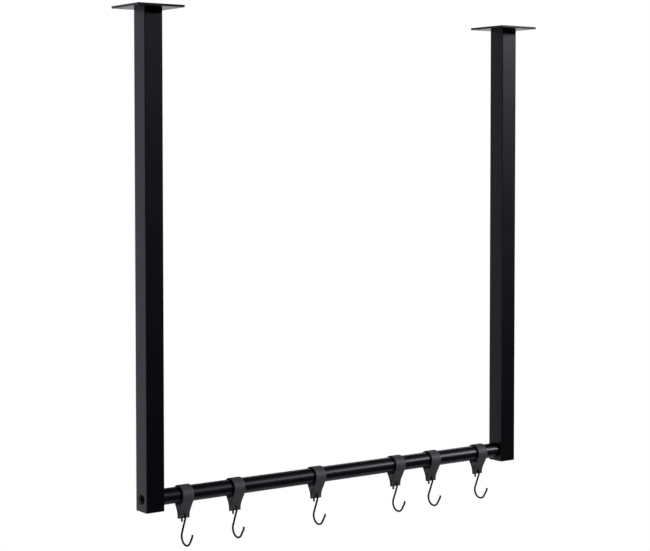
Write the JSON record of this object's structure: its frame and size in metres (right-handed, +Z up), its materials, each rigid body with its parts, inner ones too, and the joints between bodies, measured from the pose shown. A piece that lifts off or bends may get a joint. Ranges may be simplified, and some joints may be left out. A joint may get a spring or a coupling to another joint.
{
  "type": "hanging rail",
  "caption": "Ceiling-hung black rail: square posts with plates, a round bar between them, and sliding leather loops that carry wire S-hooks.",
  "frame": {"origin": "midway between the two ceiling plates, on their top faces, where the ceiling is", "axes": "+Z up to the ceiling, X along the rail, -Y towards the side that the S-hooks open to"},
  "size_m": [0.9, 0.09, 0.9232],
  "materials": {
    "post_coating": "satin black powder coat on square steel tube and plate",
    "rail_gloss": "smooth semi-gloss black coat on round steel tube",
    "bolt_black": "black oxide on steel, dull",
    "zinc_steel": "zinc-plated turned steel, hidden",
    "cap_plastic": "matte black moulded plastic",
    "leather": "smooth charcoal-black leather with dark cut edges",
    "hook_wire": "satin black coated steel wire"
  },
  "bodies": {
    "frame": {"ceiling_plate_left": "post_coating", "post_left": "post_coating", "post_cap_left": "cap_plastic", "spacer_sleeve_left": "zinc_steel", "rail_bolt_left": "bolt_black", "rail_plug_left": "zinc_steel", "bolt_cover_left": "cap_plastic", "ceiling_plate_right": "post_coating", "post_right": "post_coating", "post_cap_right": "cap_plastic", "spacer_sleeve_right": "zinc_steel", "rail_bolt_right": "bolt_black", "rail_plug_right": "zinc_steel", "bolt_cover_right": "cap_plastic", "rail_tube": "rail_gloss"},
    "loop_1": {"leather_loop_1": "leather"},
    "hook_1": {"s_hook_1": "hook_wire"},
    "loop_2": {"leather_loop_2": "leather"},
    "hook_2": {"s_hook_2": "hook_wire"},
    "loop_3": {"leather_loop_3": "leather"},
    "hook_3": {"s_hook_3": "hook_wire"},
    "loop_4": {"leather_loop_4": "leather"},
    "hook_4": {"s_hook_4": "hook_wire"},
    "loop_5": {"leather_loop_5": "leather"},
    "hook_5": {"s_hook_5": "hook_wire"},
    "loop_6": {"leather_loop_6": "leather"},
    "hook_6": {"s_hook_6": "hook_wire"}
  },
  "joints": [
    {"name": "loop_1_slide", "type": "slide", "parent": "frame", "child": "loop_1", "axis": [1, 0, 0], "range_m": [-0.0373, 0.0416]},
    {"name": "hook_1_swing", "type": "hinge", "parent": "loop_1", "child": "hook_1", "pos_m": [-0.33868, 0, -0.87385], "axis": [1, 0, 0], "range_deg": [-90, 90]},
    {"name": "loop_2_slide", "type": "slide", "parent": "frame", "child": "loop_2", "axis": [1, 0, 0], "range_m": [-0.0416, 0.0772]},
    {"name": "hook_2_swing", "type": "hinge", "parent": "loop_2", "child": "hook_2", "pos_m": [-0.2325, 0, -0.87385], "axis": [1, 0, 0], "range_deg": [-90, 90]},
    {"name": "loop_3_slide", "type": "slide", "parent": "frame", "child": "loop_3", "axis": [1, 0, 0], "range_m": [-0.0772, 0.0821]},
    {"name": "hook_3_swing", "type": "hinge", "parent": "loop_3", "child": "hook_3", "pos_m": [-0.05502, 0, -0.87385], "axis": [1, 0, 0], "range_deg": [-90, 90]},
    {"name": "loop_4_slide", "type": "slide", "parent": "frame", "child": "loop_4", "axis": [1, 0, 0], "range_m": [-0.0821, 0.0325]},
    {"name": "hook_4_swing", "type": "hinge", "parent": "loop_4", "child": "hook_4", "pos_m": [0.13214, 0, -0.87385], "axis": [1, 0, 0], "range_deg": [-90, 90]},
    {"name": "loop_5_slide", "type": "slide", "parent": "frame", "child": "loop_5", "axis": [1, 0, 0], "range_m": [-0.0325, 0.0484]},
    {"name": "hook_5_swing", "type": "hinge", "parent": "loop_5", "child": "hook_5", "pos_m": [0.2201, 0, -0.87385], "axis": [1, 0, 0], "range_deg": [-90, 90]},
    {"name": "loop_6_slide", "type": "slide", "parent": "frame", "child": "loop_6", "axis": [1, 0, 0], "range_m": [-0.0484, 0.0362]},
    {"name": "hook_6_swing", "type": "hinge", "parent": "loop_6", "child": "hook_6", "pos_m": [0.33984, 0, -0.87385], "axis": [1, 0, 0], "range_deg": [-90, 90]}
  ]
}
